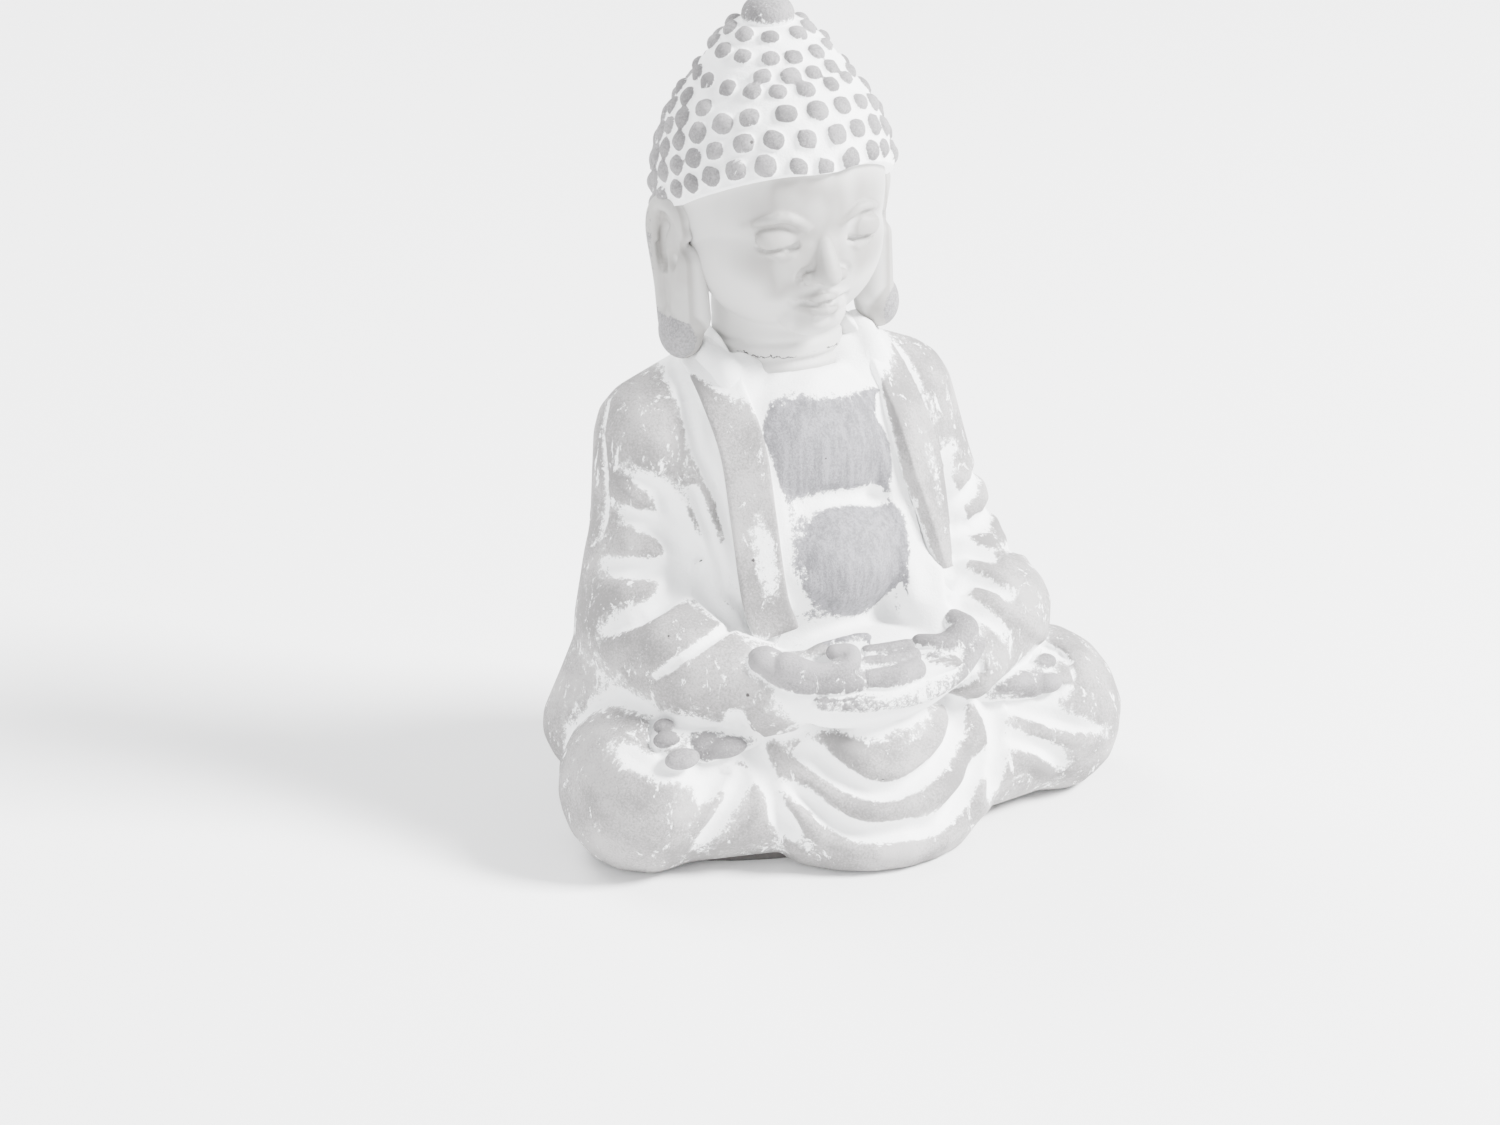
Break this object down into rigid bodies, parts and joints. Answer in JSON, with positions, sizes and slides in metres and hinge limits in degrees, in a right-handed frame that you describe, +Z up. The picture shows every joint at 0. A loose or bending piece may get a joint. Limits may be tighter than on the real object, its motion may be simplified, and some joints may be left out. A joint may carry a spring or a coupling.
{
  "type": "seated buddha figurine",
  "caption": "Seated, cross-legged figure in an open robe with hands in its lap, long ears and a tall cap of curls, cast in cement with a rubbed white wash.",
  "frame": {"origin": "middle of the underside of the base pad, the face the figure stands on", "axes": "the figure faces -Y, +Z is up, +X is towards its own left knee"},
  "size_m": [0.0848, 0.057, 0.1159],
  "materials": {
    "washed_cement": "matt, white wash in the hollows",
    "rubbed_cement": "matt, wash rubbed back to grey",
    "smooth_cement": "smooth, near satin",
    "dowel": "plain",
    "pad": "felt"
  },
  "bodies": {
    "root": {"crown_finial": "washed_cement", "crown": "washed_cement", "hair_cap": "washed_cement", "ear_right": "washed_cement", "ear_left": "washed_cement", "lapel_right": "washed_cement", "lapel_left": "washed_cement", "sleeve_right": "washed_cement", "sleeve_left": "washed_cement", "apron": "washed_cement", "leg_right": "washed_cement", "leg_left": "washed_cement", "robe_body": "washed_cement", "hand_right": "rubbed_cement", "hand_left": "rubbed_cement", "foot_right": "rubbed_cement", "foot_left": "rubbed_cement", "chest": "rubbed_cement", "head": "smooth_cement", "neck_dowel": "dowel", "base_pad": "pad"}
  },
  "joints": []
}
